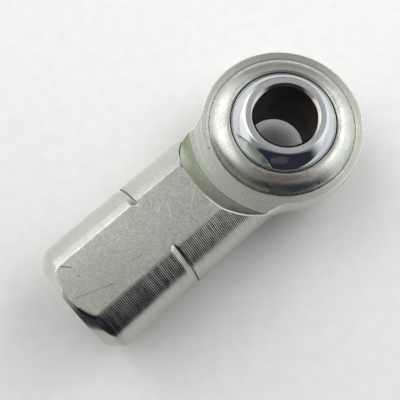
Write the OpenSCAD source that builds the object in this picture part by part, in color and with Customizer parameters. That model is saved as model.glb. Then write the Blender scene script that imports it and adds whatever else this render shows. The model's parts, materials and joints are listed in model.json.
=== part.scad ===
// Female rod end: a turned and plated steel body coined round a hard-chromed spherical ball.
// Origin at the ball's centre, +Z along the ball's bore, +X along the shank to the threaded mouth.

/* [Ball] */
// Diameter of the ball
ball_d = 19.05; // [18:0.05:20.5]
// Width of the ball across its two flat faces
ball_w = 14; // [12:0.1:15]
// Diameter of the bore through the ball
bore_d = 10; // [8:0.05:11]
// Bevel round each mouth of the bore
bore_bevel = 0.4; // [0.2:0.05:0.7]
// Radial width taken off the corner between each flat face and the sphere
face_break = 0.12; // [0.08:0.02:0.4]
// Angle of that corner break below the flat face
face_break_angle = 30; // [12:1:45]
// Radial play between the ball and its seat
seat_play = 0.05; // [0.02:0.01:0.1]

/* [Head] */
// Wall from the seat to the outside of the head, at its widest
head_wall = 3.88; // [3:0.02:6]
// Width of the head over its two coined lips
head_w = 9.4; // [8.4:0.1:10.4]
// Thickness of the head at its flat rim
rim_t = 5.4; // [4:0.1:7]
// Radial width of the coined lip round the ball
lip_w = 0.4; // [0.2:0.02:0.7]
// Drop of the lip from its outer edge to the ball
lip_drop = 0.25; // [0.1:0.05:0.4]
// Radial width of the raised collar between the lip and the rim
collar_w = 2.92; // [2:0.02:3.6]
// Radius of the collar's round back
collar_r = 3.6; // [3:0.1:6]

/* [Shank] */
// Distance from the ball's centre to the end of the shank
centre_to_end = 43; // [40:0.5:70]
// Diameter of the shank
shank_d = 19; // [17.5:0.1:22]
// Spanner that fits the two flats
spanner = 17; // [15:0.5:17.5]
// Play of the flats in that spanner
spanner_play = 0.25; // [0.1:0.05:0.5]
// Radius of the hollow between the head and the shank
neck_r = 7; // [2:0.5:10]
// Space on the rim between the head's widest circle and the foot of the neck wall
neck_space = 1.55; // [0.5:0.05:3]
// Angle of the neck wall from the bore's direction
neck_angle = 30; // [15:1:40]
// Length of the bevel at the end of the shank
end_bevel = 1.8; // [0.5:0.1:3]
// Angle of that bevel to the shank
end_bevel_angle = 45; // [15:1:55]

/* [Groove] */
// Distance from the end of the shank to the groove
groove_from_end = 15.6; // [10:0.1:17]
// Width of the groove
groove_w = 1.1; // [0.6:0.1:2]
// Depth of the groove at its steep side
groove_depth = 0.35; // [0.2:0.05:0.7]
// Run of the groove's steep side
groove_step = 0.15; // [0.05:0.05:0.4]

/* [Threaded hole] */
// Nominal diameter of the thread
thread_d = 10; // [8:1:12]
// Pitch of the thread
thread_pitch = 1.5; // [1:0.25:1.75]
// Depth of the hole at its full diameter
hole_depth = 22; // [15:0.5:24]
// Angle of the drill's point
drill_angle = 118; // [90:1:140]
// Width of the countersink outside the thread at the mouth
mouth_bevel = 0.3; // [0.1:0.05:0.6]

/* [Hidden] */
$fn = 128;
zinc = [0.72, 0.73, 0.67];
chrome = [0.78, 0.80, 0.85];
// Overrun of a cut past the face that it opens
over = 1;

ball_r = ball_d / 2;
bore_r = bore_d / 2;
half_w = ball_w / 2;
face_r = sqrt(ball_r ^ 2 - half_w ^ 2) - face_break;
// Drop of the corner break's cone where it has run past the sphere
break_drop = (ball_r - face_r) * tan(face_break_angle);

seat_r = ball_r + seat_play;
head_r = seat_r + head_wall;
rim_z = rim_t / 2;
lip_z = head_w / 2;
lip_foot_z = lip_z - lip_drop;
lip_in_r = sqrt(seat_r ^ 2 - lip_foot_z ^ 2);
lip_out_r = lip_in_r + lip_w;
crease_r = lip_out_r + collar_w;

// Centre of the collar's round back, from its two ends and its radius
collar_chord = [crease_r - lip_out_r, rim_z - lip_z];
collar_span = norm(collar_chord);
collar_sag = sqrt(collar_r ^ 2 - (collar_span / 2) ^ 2);
collar_mid = [(crease_r + lip_out_r) / 2, (rim_z + lip_z) / 2];
collar_centre = collar_mid + collar_sag * [collar_chord[1], -collar_chord[0]] / collar_span;

shank_r = shank_d / 2;
flat_z = (spanner - spanner_play) / 2;
// Place along the shank where the neck's hollow meets the shank, and its centre's radius
neck_x = sqrt((head_r + neck_r) ^ 2 - (shank_r + neck_r) ^ 2);
neck_centre_r = shank_r + neck_r;
neck_foot_r = head_r + neck_space;
cut_top = shank_r + over;
neck_top_r = neck_foot_r + (cut_top - rim_z) * tan(neck_angle);
end_r = shank_r - end_bevel * tan(end_bevel_angle);
groove_x = centre_to_end - groove_from_end;

drill_r = (thread_d - thread_pitch) / 2;
mouth_r = thread_d / 2 + mouth_bevel;
point_len = drill_r / tan(drill_angle / 2);

// Half outline of the head's sphere, radius across and shank direction up
module head_outline() {
    intersection() {
        circle(r = head_r);
        translate([0, -head_r]) square([head_r, 2 * head_r]);
    }
}

// Half outline of the shank, with its grooved side and bevelled end
module shank_outline() {
    polygon([
        [0, 0],
        [shank_r, 0],
        [shank_r, groove_x - groove_w],
        [shank_r - groove_depth, groove_x - groove_w + groove_step],
        [shank_r, groove_x],
        [shank_r, centre_to_end - end_bevel],
        [end_r, centre_to_end],
        [0, centre_to_end]
    ]);
}

// Web that the round hollow leaves between the head and the shank
module neck_outline() {
    tangent = head_r / (head_r + neck_r);
    difference() {
        polygon([[0, 0], [neck_centre_r * tangent, neck_x * tangent], [neck_centre_r, neck_x], [0, neck_x]]);
        translate([neck_centre_r, neck_x]) circle(r = neck_r);
    }
}

// Bar turned about the shank's axis, before any milling
module turned_blank() {
    rotate([0, 90, 0]) rotate_extrude() {
        union() {
            head_outline();
            shank_outline();
            neck_outline();
        }
    }
}

// Slab between the two spanner flats
module flats_slab() {
    length = head_r + centre_to_end;
    translate([(centre_to_end - head_r) / 2, 0, 0])
        cube([length + 2 * over, 2 * head_r + 2 * over, 2 * flat_z], center = true);
}

// Half outline of the raised collar with its round back and thin lip
module collar_outline() {
    polygon([
        [0, 0],
        [crease_r, 0],
        [crease_r, rim_z],
        [lip_out_r, lip_z],
        [lip_in_r, lip_foot_z],
        [0, lip_foot_z]
    ]);
    intersection() {
        polygon([[lip_out_r, lip_z], [crease_r, lip_z], [crease_r, rim_z]]);
        translate(collar_centre) circle(r = collar_r);
    }
}

// Cut that faces one side of the head down to its rim and leaves the collar standing
module face_cut() {
    difference() {
        translate([0, 0, rim_z]) cylinder(h = cut_top - rim_z, r1 = neck_foot_r, r2 = neck_top_r);
        rotate_extrude() collar_outline();
    }
}

// Blind tapped hole at its drilled diameter, with a drill point and a countersunk mouth
module tapped_hole() {
    translate([centre_to_end, 0, 0]) rotate([0, -90, 0]) {
        translate([0, 0, -over]) cylinder(h = hole_depth + over, r = drill_r);
        translate([0, 0, hole_depth]) cylinder(h = point_len, r1 = drill_r, r2 = 0);
        cylinder(h = mouth_r - drill_r, r1 = mouth_r, r2 = drill_r);
    }
}

module body() {
    color(zinc) difference() {
        intersection() {
            turned_blank();
            flats_slab();
        }
        face_cut();
        mirror([0, 0, 1]) face_cut();
        sphere(r = seat_r);
        tapped_hole();
    }
}

// Half outline that trims the sphere to its faces, bore and bevels
module ball_trim() {
    polygon([
        [bore_r, bore_bevel - half_w],
        [bore_r + bore_bevel, -half_w],
        [face_r, -half_w],
        [ball_r, break_drop - half_w],
        [ball_r, half_w - break_drop],
        [face_r, half_w],
        [bore_r + bore_bevel, half_w],
        [bore_r, half_w - bore_bevel]
    ]);
}

module ball() {
    color(chrome) intersection() {
        sphere(r = ball_r);
        rotate_extrude() ball_trim();
    }
}

body();
ball();
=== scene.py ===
"""Looks of a female rod end: a zinc-plated steel body coined round a hard-chromed ball.

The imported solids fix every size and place. Both pieces are modelled again here on the same outlines, finer
and with broken edges and a real thread, and dressed with procedural finishes. Units are metres, in the part's
own frame: origin at the ball's centre, +Z along the bore, +X along the shank to the threaded mouth.
"""

import json
import logging
import math
from collections.abc import Callable, Iterable
from dataclasses import dataclass, field
from enum import Enum
from typing import Any

import bpy
from mathutils import Matrix, Vector
from mathutils.kdtree import KDTree


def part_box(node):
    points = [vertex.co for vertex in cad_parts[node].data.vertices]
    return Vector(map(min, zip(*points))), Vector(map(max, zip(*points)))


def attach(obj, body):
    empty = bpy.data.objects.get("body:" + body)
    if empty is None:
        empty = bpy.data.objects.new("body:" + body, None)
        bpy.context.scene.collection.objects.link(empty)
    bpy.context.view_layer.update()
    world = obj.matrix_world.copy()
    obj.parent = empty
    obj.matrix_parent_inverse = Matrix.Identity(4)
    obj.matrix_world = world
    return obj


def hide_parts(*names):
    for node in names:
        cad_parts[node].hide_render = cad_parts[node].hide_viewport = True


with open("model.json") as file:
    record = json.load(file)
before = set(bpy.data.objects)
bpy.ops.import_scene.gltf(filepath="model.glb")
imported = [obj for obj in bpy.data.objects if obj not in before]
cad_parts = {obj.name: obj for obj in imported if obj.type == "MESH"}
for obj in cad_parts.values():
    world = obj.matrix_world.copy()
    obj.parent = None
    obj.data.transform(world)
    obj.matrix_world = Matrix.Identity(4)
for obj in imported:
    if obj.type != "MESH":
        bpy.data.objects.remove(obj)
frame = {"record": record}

MM = 0.001
# Points closer than a hair are one point, and a face as near as this to a plane lies on it
HAIR = 0.0001 * MM
NEAR = 0.01 * MM
# Upright share of the normal from which a face is level
FLAT = 0.9999
# Edges sharper than this stay sharp in smooth shading, where the larger faces lead by this weight
SHARP = math.radians(40.0)
LARGE_FACE_WEIGHT = 100
# Long outlines of level faces are searched for spikes, corners that turn back by more than this
LONG_OUTLINE = 12
SPIKE = math.radians(125.0)
# Points along each machined edge that its margin is measured from
EDGE_SAMPLES = 6
# Wide sectors of the flat rims, and the direction of the first seam between them
RIM_SECTORS = 6
RIM_TURN = math.radians(8.0)
# Chords of the seat, from the lip inwards, over which its relief runs out
RELIEF_STEPS = 6
# How far the coined finish reaches past the crease
CREASE_REACH = 0.03 * MM
# Rounds at the ball's corners: both sides of the bore's bevel, and the edge of the face
BALL_ROUNDS = {1: 0.08 * MM, 2: 0.06 * MM, 3: 0.08 * MM}
# Rounds at the shank's corners: three in the groove and two at the end bevel
SHANK_ROUNDS = {1: 0.2 * MM, 2: 0.06 * MM, 3: 0.4 * MM, 4: 1.6 * MM, 5: 0.2 * MM}
# Rounds at the neck wall's foot, the crease, and the lip's outer and inner edges
HEAD_ROUNDS = (0.25 * MM, 0.06 * MM, 0.3 * MM, 0.06 * MM)
# Pixels across the photograph, and the camera's sensor
PHOTO_SIDE = 400.0
SENSOR_WIDTH = 36.0

log = logging.getLogger("rod_end")

Point = tuple[float, float]
Place = tuple[float, float, float]
Colour = tuple[float, float, float, float]
Piece = bpy.types.Object
Tree = bpy.types.NodeTree
Socket = bpy.types.NodeSocket


class Spindle(Enum):
    """Axis that an outline is turned about."""

    BORE = "Z"
    SHANK = "X"


class Item(Enum):
    """What is chosen of a mesh: the select mode's name, and the mesh's list of such items."""

    POINT = ("VERT", "vertices")
    EDGE = ("EDGE", "edges")
    FACE = ("FACE", "polygons")


class Region(Enum):
    """Faces of the body by the work that made them."""

    TURNED = "turned"
    MILLED = "milled"
    FACED = "faced"
    TAPPED = "tapped"
    # Broken edges: worn, and paler still as a painted highlight
    WORN = "worn_edge"
    NECK = "neck"
    COINED = "coined"
    SEAT = "seat"
    # The groove's steep side is darkened as painted shade
    GROOVE = "steep side of the groove"


class RingWay(Enum):
    """How a surface's tool rings run."""

    NONE = "none"
    ROUND_SHANK = "round the shank"
    ROUND_BORE = "round the bore"


def mount_radius(name: str) -> float:
    """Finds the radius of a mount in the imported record."""
    return next(m for m in frame["record"]["mounts"] if m["name"] == name)["dims"]["r_mm"] * MM


def mm(*lengths: float) -> tuple[float, ...]:
    """Turns millimetres into metres."""
    return tuple(length * MM for length in lengths)


def heading(azimuth: float, elevation: float) -> Vector:
    """Finds a direction, counter-clockwise from +X and above the horizon, in degrees."""
    a, e = math.radians(azimuth), math.radians(elevation)
    return Vector((math.cos(e) * math.cos(a), math.cos(e) * math.sin(a), math.sin(e)))


def level_at(face: bpy.types.MeshPolygon, height: float, within: float) -> bool:
    """Tells whether a face is level, at a height above or below the ball's centre."""
    return abs(face.normal.z) > FLAT and abs(abs(face.center.z) - height) < within


def arc(centre: Point, radius: float, start: float, end: float, steps: int) -> list[Point]:
    """Points along an arc, both ends included.

    Args:
        centre: The arc's centre in the outline's plane.
        radius: The arc's radius.
        start: Angle of the first point, in degrees.
        end: Angle of the last point, in degrees.
        steps: Number of chords.

    Returns:
        The points in order.
    """
    turns = [math.radians(start + (end - start) * i / steps) for i in range(steps + 1)]
    return [(centre[0] + radius * math.cos(t), centre[1] + radius * math.sin(t)) for t in turns]


def rounded(outline: list[Point], radii: dict[int, float], steps: int) -> list[Point]:
    """Rounds chosen corners of an outline.

    Args:
        outline: The outline's corners.
        radii: Corner index to the radius there.
        steps: Number of chords in each round.

    Returns:
        The outline with those corners replaced by arcs.
    """
    out: list[Point] = []
    for i, corner in enumerate(outline):
        if i not in radii:
            out.append(corner)
            continue
        here = Vector(corner)
        before = (Vector(outline[i - 1]) - here).normalized()
        after = (Vector(outline[(i + 1) % len(outline)]) - here).normalized()
        half = before.angle(after) / 2
        centre = here + (before + after).normalized() * (radii[i] / math.sin(half))
        first = here + before * (radii[i] / math.tan(half)) - centre
        last = here + after * (radii[i] / math.tan(half)) - centre
        start = math.degrees(math.atan2(first.y, first.x))
        sweep = math.degrees(math.atan2(first.x * last.y - first.y * last.x, first.dot(last)))
        out += arc(tuple(centre), radii[i], start, start + sweep, steps)
    return out


class Bench:
    """Modelling moves shared by the pieces."""

    @staticmethod
    def clear() -> None:
        """Leaves edit mode and deselects everything."""
        if bpy.context.object and bpy.context.object.mode != "OBJECT":
            bpy.ops.object.mode_set(mode="OBJECT")
        bpy.ops.object.select_all(action="DESELECT")

    @staticmethod
    def take(piece: Piece) -> None:
        """Makes a piece the only selected and active one.

        Args:
            piece: The object to work on.
        """
        Bench.clear()
        piece.select_set(True)
        bpy.context.view_layer.objects.active = piece

    @staticmethod
    def edit(piece: Piece, item: Item, chosen: Iterable[int], move: Callable, **settings: Any) -> None:
        """Runs an operator in edit mode on chosen points, edges or faces.

        Args:
            piece: The object to work on.
            item: What is chosen.
            chosen: Indices of those items.
            move: The operator.
            settings: The operator's own settings.
        """
        mode, listed = item.value
        Bench.take(piece)
        bpy.ops.object.mode_set(mode="EDIT")
        bpy.ops.mesh.select_mode(type=mode)
        bpy.ops.mesh.select_all(action="DESELECT")
        bpy.ops.object.mode_set(mode="OBJECT")
        items = getattr(piece.data, listed)
        for index in chosen:
            items[index].select = True
        bpy.ops.object.mode_set(mode="EDIT")
        move(**settings)
        bpy.ops.object.mode_set(mode="OBJECT")

    @staticmethod
    def modify(piece: Piece, kind: str, **settings: Any) -> None:
        """Adds a modifier, sets it and applies it.

        Args:
            piece: The object to work on.
            kind: The modifier's type.
            settings: The modifier's own properties.
        """
        Bench.take(piece)
        bpy.ops.object.modifier_add(type=kind)
        modifier = piece.modifiers[-1]
        for key, value in settings.items():
            setattr(modifier, key, value)
        bpy.ops.object.modifier_apply(modifier=modifier.name)

    @staticmethod
    def wire(name: str, outline: list[Point], spindle: Spindle) -> Piece:
        """Draws an outline as a chain of edges in the plane through its spindle.

        Args:
            name: Name of the new object.
            outline: Points as radius and place along the spindle.
            spindle: The axis that the outline will turn about.

        Returns:
            The new object, in edit mode with its last point selected.
        """
        places = [Vector((a, 0, r)) if spindle is Spindle.SHANK else Vector((r, 0, a)) for r, a in outline]
        Bench.clear()
        bpy.ops.mesh.primitive_plane_add(size=MM)
        piece = bpy.context.object
        piece.name = name
        bpy.ops.object.mode_set(mode="EDIT")
        bpy.ops.mesh.merge(type="CENTER")
        bpy.ops.transform.translate(value=places[0])
        for here, there in zip(places, places[1:]):
            bpy.ops.mesh.extrude_region_move(TRANSFORM_OT_translate={"value": there - here})
        return piece

    @staticmethod
    def close(sides: int = 0) -> None:
        """Joins points that lie together, turns the faces outwards and leaves edit mode.

        Args:
            sides: Most sides of a hole that is filled before that, or 0 to fill none.
        """
        bpy.ops.mesh.select_all(action="SELECT")
        bpy.ops.mesh.remove_doubles(threshold=HAIR)
        if sides:
            bpy.ops.mesh.fill_holes(sides=sides)
        bpy.ops.mesh.normals_make_consistent(inside=False)
        bpy.ops.object.mode_set(mode="OBJECT")

    @staticmethod
    def turn(
        name: str, outline: list[Point], spindle: Spindle, steps: int, sides: int = 0, **helix: Any
    ) -> Piece:
        """Turns an outline into a closed solid, with its faces in the same order each time.

        Args:
            name: Name of the new object.
            outline: Points as radius and place along the spindle. Both ends lie on it, or the outline closes.
            spindle: The axis to turn about.
            steps: Number of facets in a full turn.
            sides: Most sides of an open end that is filled, or 0 where there is none.
            helix: Settings of a turn that isn't one plain circle.

        Returns:
            The turned object, in object mode.
        """
        piece = Bench.wire(name, outline, spindle)
        Bench.close()
        Bench.modify(piece, "SCREW", axis=spindle.value, steps=steps, render_steps=steps, **helix)
        bpy.ops.object.mode_set(mode="EDIT")
        Bench.close(sides)
        return piece

    @staticmethod
    def coil(name: str, outline: list[Point], pitch: float, turns: int, steps: int) -> Piece:
        """Sweeps a closed outline along a right-hand helix about the shank, towards the head.

        Args:
            name: Name of the new object.
            outline: The section at the helix's start, closed on itself.
            pitch: Advance in one turn.
            turns: Number of turns.
            steps: Facets in a full turn.

        Returns:
            The swept solid, closed at both ends, in object mode.
        """
        helix = {"angle": -math.tau, "screw_offset": -pitch, "iterations": turns}
        return Bench.turn(name, outline, Spindle.SHANK, steps, sides=len(outline), **helix)

    @staticmethod
    def slice_off(piece: Piece, place: Vector, outward: Vector) -> None:
        """Cuts a piece with a plane, throws its outer side away and closes the cut.

        Args:
            piece: The object to cut.
            place: A point on the plane.
            outward: The plane's normal, towards what goes.
        """
        every = range(len(piece.data.vertices))
        plane = {"plane_co": place, "plane_no": outward, "threshold": HAIR}
        Bench.edit(piece, Item.POINT, every, bpy.ops.mesh.bisect, use_fill=True, clear_outer=True, **plane)

    @staticmethod
    def cut(piece: Piece, tool: Piece) -> None:
        """Cuts a tool's solid out of a piece, keeps its materials on the cut and throws the tool away.

        Args:
            piece: The solid that stays.
            tool: The solid that cuts it.
        """
        settings = {"operation": "DIFFERENCE", "solver": "EXACT", "material_mode": "TRANSFER"}
        Bench.modify(piece, "BOOLEAN", object=tool, **settings)
        bpy.data.objects.remove(tool)

    @staticmethod
    def smooth(piece: Piece) -> None:
        """Shades a piece smooth apart from its sharp edges, with the larger faces leading at each corner.

        Args:
            piece: The object to shade.
        """
        Bench.take(piece)
        bpy.ops.object.shade_smooth_by_angle(angle=SHARP)
        Bench.modify(piece, "WEIGHTED_NORMAL", weight=LARGE_FACE_WEIGHT, keep_sharp=True)


class Graph:
    """Adds nodes to one shader tree and links them."""

    def __init__(self, tree: Tree) -> None:
        """Takes the tree to work in."""
        self.tree = tree

    def node(self, kind: str, inputs: dict[str | int, Any] | None = None, **settings: Any) -> bpy.types.Node:
        """Adds a node.

        Args:
            kind: The node's type, without its common prefix.
            inputs: Input name or index to a value, or to the socket that feeds it.
            settings: The node's own properties.

        Returns:
            The new node.
        """
        made = self.tree.nodes.new("ShaderNode" + kind)
        for key, value in settings.items():
            setattr(made, key, value)
        for key, value in (inputs or {}).items():
            if isinstance(value, Socket):
                self.tree.links.new(value, made.inputs[key])
            else:
                made.inputs[key].default_value = value
        return made

    def group(self, tree: Tree, **inputs: Any) -> bpy.types.Node:
        """Places a shared group, with its inputs by name."""
        return self.node("Group", inputs, node_tree=tree)

    def math(self, operation: str, *terms: float | Socket) -> Socket:
        """Adds a Math node on its terms and gives its output."""
        return self.node("Math", dict(enumerate(terms)), operation=operation).outputs[0]

    def vector(self, operation: str, *terms: Any) -> Socket:
        """Adds a Vector Math node.

        Args:
            operation: What it does.
            terms: Its inputs in order; the scale of a SCALE comes second.

        Returns:
            Its output, a value for those operations that give one.
        """
        keys = (0, "Scale") if operation == "SCALE" else range(len(terms))
        made = self.node("VectorMath", dict(zip(keys, terms)), operation=operation)
        return made.outputs["Value" if operation in ("DOT_PRODUCT", "LENGTH", "DISTANCE") else "Vector"]

    def per(self, place: Socket, size: Socket) -> Socket:
        """Measures a place in a size."""
        return self.vector("SCALE", place, self.math("DIVIDE", 1.0, size))

    def ramp(
        self, value: Socket, low: float, high: float, to_low: float = 0.0, to_high: float = 1.0
    ) -> Socket:
        """Maps a range of values smoothly onto another and holds its ends."""
        ends = {"Value": value, "From Min": low, "From Max": high, "To Min": to_low, "To Max": to_high}
        return self.node("MapRange", ends, interpolation_type="SMOOTHSTEP").outputs["Result"]

    def blend(self, amount: Socket, first: Any, second: Any) -> Socket:
        """Mixes two colours, by the share of the second."""
        return self.node("Mix", {0: amount, 6: first, 7: second}, data_type="RGBA").outputs[2]

    def cover(self, colour: Any, mask: Socket, amount: float, coat: Colour) -> Socket:
        """Lays a coat over a colour where its mask is, as thick as its amount."""
        return self.blend(self.math("MULTIPLY", mask, amount), colour, coat)

    def noise(self, place: Socket, scale: float, detail: float = 2.0) -> Socket:
        """Adds a Noise texture and gives its value, about 0.5 on average."""
        return self.node("TexNoise", {"Vector": place, "Scale": scale, "Detail": detail}).outputs["Fac"]

    def bump(self, height: Socket, depth: float, normal: Socket | None) -> Socket:
        """Adds a Bump node of some depth, in metres, on top of an earlier one's normal if there is one."""
        inputs = {"Height": height, "Distance": depth, "Strength": 1.0}
        return self.node("Bump", inputs | ({"Normal": normal} if normal else {})).outputs["Normal"]


class Effects:
    """Shader groups that several finishes share, each built once."""

    # Noise over which the film's drift and speckle come in
    DRIFT_BAND = (0.32, 0.68)
    SPECKLE_BAND = (0.3, 0.7)
    # Wandering of the tool rings, in pitches, the length of the torn dashes on them and how deep rings differ
    WANDER, WANDER_SCALE = 0.3, 0.2
    DASH_SHAPE, DASH_SCALE = (1.0, 0.15, 0.15), 1.1
    RING_DEPTHS = (0.7, 1.2)
    # Where a ring's clean crest starts, from its middle, and how the dashes break it
    CREST = (0.2, 0.35)
    CREST_BREAK = (0.3, 0.5, 0.4, 1.0)
    # Directions of the fine scratches, the shift between their layers, their shape, bend and noise
    SCRATCH_TURNS = (8.0, 31.0, 62.0, 83.0, 109.0, 137.0, 166.0)
    SCRATCH_SHIFT = (7.3, 3.1)
    SCRATCH_SHAPE = (1.0, 0.08, 1.0)
    SCRATCH_BEND, SCRATCH_BEND_SCALE = 0.12, 0.6
    SCRATCH_BAND = (0.63, 0.7)
    # Rim of a pit, and the soft edge of a mark or ring, in widths from its middle
    PIT_RIM = (0.22, 0.08)
    SOFT_EDGE = (0.5, 0.15)
    # Streaks of a ring of tint or painted shade round the bore, and how its ends fade
    STREAK_SCALE = 34.0
    STREAK_BAND = (0.3, 0.65, 0.25, 1.0)
    END_FADE = (0.0, 0.3)

    def __init__(self) -> None:
        """Builds every group."""
        self.film = self.zinc_film()
        self.rings = self.tool_rings()
        self.scratches = self.fine_scratches()
        self.pits = self.small_pits()
        self.stroke = self.stroke_mark()
        self.ring = self.ring_tint_and_shade()

    @staticmethod
    def open(
        name: str, inputs: dict[str, str], outputs: dict[str, str]
    ) -> tuple[Graph, dict[str, Socket], dict[str, Socket]]:
        """Starts a group.

        Args:
            name: The group's name.
            inputs: Input name to its socket kind.
            outputs: Output name to its socket kind.

        Returns:
            The group's graph, the sockets that its inputs come from and those that its outputs go to.
        """
        tree = bpy.data.node_groups.new(name, "ShaderNodeTree")
        for way, sockets in (("INPUT", inputs), ("OUTPUT", outputs)):
            for label, kind in sockets.items():
                tree.interface.new_socket(label, in_out=way, socket_type="NodeSocket" + kind)
        entry, exit_ = (tree.nodes.new(kind) for kind in ("NodeGroupInput", "NodeGroupOutput"))
        given = {label: entry.outputs[label] for label in inputs}
        return Graph(tree), given, {label: exit_.inputs[label] for label in outputs}

    def zinc_film(self) -> Tree:
        """Drift and speckle of a plated film's colour, and its haze.

        Returns:
            The group.
        """
        sizes = {"Cloud": "Float", "Grain": "Float", "Speckle": "Float"}
        graph, given, out = self.open(
            "zinc_film",
            {"Place": "Vector", "Bright": "Color", "Dull": "Color", **sizes},
            {"Color": "Color", "Haze": "Float"},
        )
        wide = graph.per(given["Place"], given["Cloud"])
        near = graph.per(given["Place"], given["Grain"])
        broad = graph.ramp(graph.noise(wide, 1.0, detail=3.0), *self.DRIFT_BAND)
        fine = graph.ramp(graph.noise(near, 1.0, detail=2.0), *self.SPECKLE_BAND)
        drift = graph.math("MULTIPLY", broad, graph.math("SUBTRACT", 1.0, given["Speckle"]))
        share = graph.math("ADD", drift, graph.math("MULTIPLY", fine, given["Speckle"]))
        graph.tree.links.new(graph.blend(share, given["Bright"], given["Dull"]), out["Color"])
        graph.tree.links.new(share, out["Haze"])
        return graph.tree

    def tool_rings(self) -> Tree:
        """Scallops that a round-nosed tool leaves, one each pitch, with torn metal on them.

        The height is in metres, and the valleys come as a mask for the dirt and painted shade laid in them.

        Returns:
            The group.
        """
        graph, given, out = self.open(
            "tool_rings",
            {"Along": "Float", "Place": "Vector", "Pitch": "Float", "Nose": "Float", "Tear": "Float"},
            {"Height": "Float", "Valley": "Float"},
        )
        near = graph.per(given["Place"], given["Pitch"])
        wander = graph.math("MULTIPLY", graph.noise(near, self.WANDER_SCALE), self.WANDER)
        count = graph.math("ADD", graph.math("DIVIDE", given["Along"], given["Pitch"]), wander)
        off = graph.math("SUBTRACT", graph.math("FRACT", count), 0.5)
        number = {"W": graph.math("FLOOR", count)}
        each = graph.node("TexWhiteNoise", number, noise_dimensions="1D").outputs["Value"]
        depth = graph.math("DIVIDE", graph.math("MULTIPLY", given["Pitch"], given["Pitch"]), given["Nose"])
        cusp = graph.math("MULTIPLY", graph.math("MULTIPLY", off, off), graph.math("MULTIPLY", depth, 0.5))
        rings = graph.math("MULTIPLY", cusp, graph.ramp(each, 0.0, 1.0, *self.RING_DEPTHS))
        dashes = graph.noise(graph.vector("MULTIPLY", near, self.DASH_SHAPE), self.DASH_SCALE, detail=1.0)
        torn = graph.math("MULTIPLY", dashes, given["Tear"])
        crest = graph.ramp(graph.math("ABSOLUTE", off), *self.CREST)
        clean = graph.math("MULTIPLY", crest, graph.ramp(dashes, *self.CREST_BREAK))
        valley = graph.math("SUBTRACT", 1.0, clean)
        graph.tree.links.new(graph.math("ADD", rings, torn), out["Height"])
        graph.tree.links.new(valley, out["Valley"])
        return graph.tree

    def fine_scratches(self) -> Tree:
        """Fine, slightly bent scratches in several directions on a face square to the bore.

        Returns:
            The group.
        """
        sockets = {"Place": "Vector", "Length": "Float"}
        graph, given, out = self.open("fine_scratches", sockets, {"Mask": "Float"})
        place = graph.per(given["Place"], given["Length"])
        bend = {"Vector": place, "Scale": self.SCRATCH_BEND_SCALE, "Detail": 1.0}
        drift = graph.node("TexNoise", bend).outputs["Color"]
        bent = graph.vector("ADD", place, graph.vector("SCALE", drift, self.SCRATCH_BEND))
        total: Socket | float = 0.0
        for n, turn in enumerate(self.SCRATCH_TURNS):
            layer = {
                "Vector": bent,
                "Location": (*(n * shift for shift in self.SCRATCH_SHIFT), 0.0),
                "Rotation": (0.0, 0.0, math.radians(turn)),
                "Scale": self.SCRATCH_SHAPE,
            }
            turned = graph.node("Mapping", layer, vector_type="TEXTURE").outputs[0]
            lines = graph.ramp(graph.noise(turned, 1.0, detail=1.0), *self.SCRATCH_BAND)
            total = graph.math("MAXIMUM", total, lines)
        graph.tree.links.new(total, out["Mask"])
        return graph.tree

    def small_pits(self) -> Tree:
        """Small scattered pits.

        Returns:
            The group.
        """
        sockets = {"Place": "Vector", "Space": "Float", "Share": "Float"}
        graph, given, out = self.open("small_pits", sockets, {"Mask": "Float"})
        place = graph.per(given["Place"], given["Space"])
        cells = graph.node("TexVoronoi", {"Vector": place, "Scale": 1.0})
        spot = graph.ramp(cells.outputs["Distance"], *self.PIT_RIM)
        chance = graph.node("SeparateColor", {0: cells.outputs["Color"]}).outputs[0]
        kept = graph.math("LESS_THAN", chance, given["Share"])
        graph.tree.links.new(graph.math("MULTIPLY", spot, kept), out["Mask"])
        return graph.tree

    def stroke_mark(self) -> Tree:
        """One straight mark between two points.

        Returns:
            The group.
        """
        sockets = {"Place": "Vector", "Start": "Vector", "End": "Vector", "Width": "Float"}
        graph, given, out = self.open("stroke_mark", sockets, {"Mask": "Float"})
        run = graph.vector("SUBTRACT", given["End"], given["Start"])
        here = graph.vector("SUBTRACT", given["Place"], given["Start"])
        along, length = (graph.vector("DOT_PRODUCT", way, run) for way in (here, run))
        share = graph.math("DIVIDE", along, length)
        held = graph.math("MAXIMUM", graph.math("MINIMUM", share, 1.0), 0.0)
        gap = graph.vector("DISTANCE", here, graph.vector("SCALE", run, held))
        mask = graph.ramp(graph.math("DIVIDE", gap, given["Width"]), *self.SOFT_EDGE)
        graph.tree.links.new(mask, out["Mask"])
        return graph.tree

    def ring_tint_and_shade(self) -> Tree:
        """A streaky ring of tint or painted shade along a circle round the bore, all the way or on one side.

        Returns:
            The group.
        """
        graph, given, out = self.open(
            "ring_tint_and_shade",
            {"Place": "Vector", "Radius": "Float", "Width": "Float", "Heading": "Vector", "Reach": "Float"},
            {"Mask": "Float"},
        )
        level = graph.vector("MULTIPLY", given["Place"], (1.0, 1.0, 0.0))
        off = graph.math("ABSOLUTE", graph.math("SUBTRACT", graph.vector("LENGTH", level), given["Radius"]))
        band = graph.ramp(graph.math("DIVIDE", off, given["Width"]), *self.SOFT_EDGE)
        way = graph.vector("NORMALIZE", level)
        side = graph.math("SUBTRACT", graph.vector("DOT_PRODUCT", way, given["Heading"]), given["Reach"])
        streaks = graph.ramp(graph.noise(way, self.STREAK_SCALE, detail=3.0), *self.STREAK_BAND)
        mask = graph.math("MULTIPLY", graph.math("MULTIPLY", band, streaks), graph.ramp(side, *self.END_FADE))
        graph.tree.links.new(mask, out["Mask"])
        return graph.tree


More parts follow.
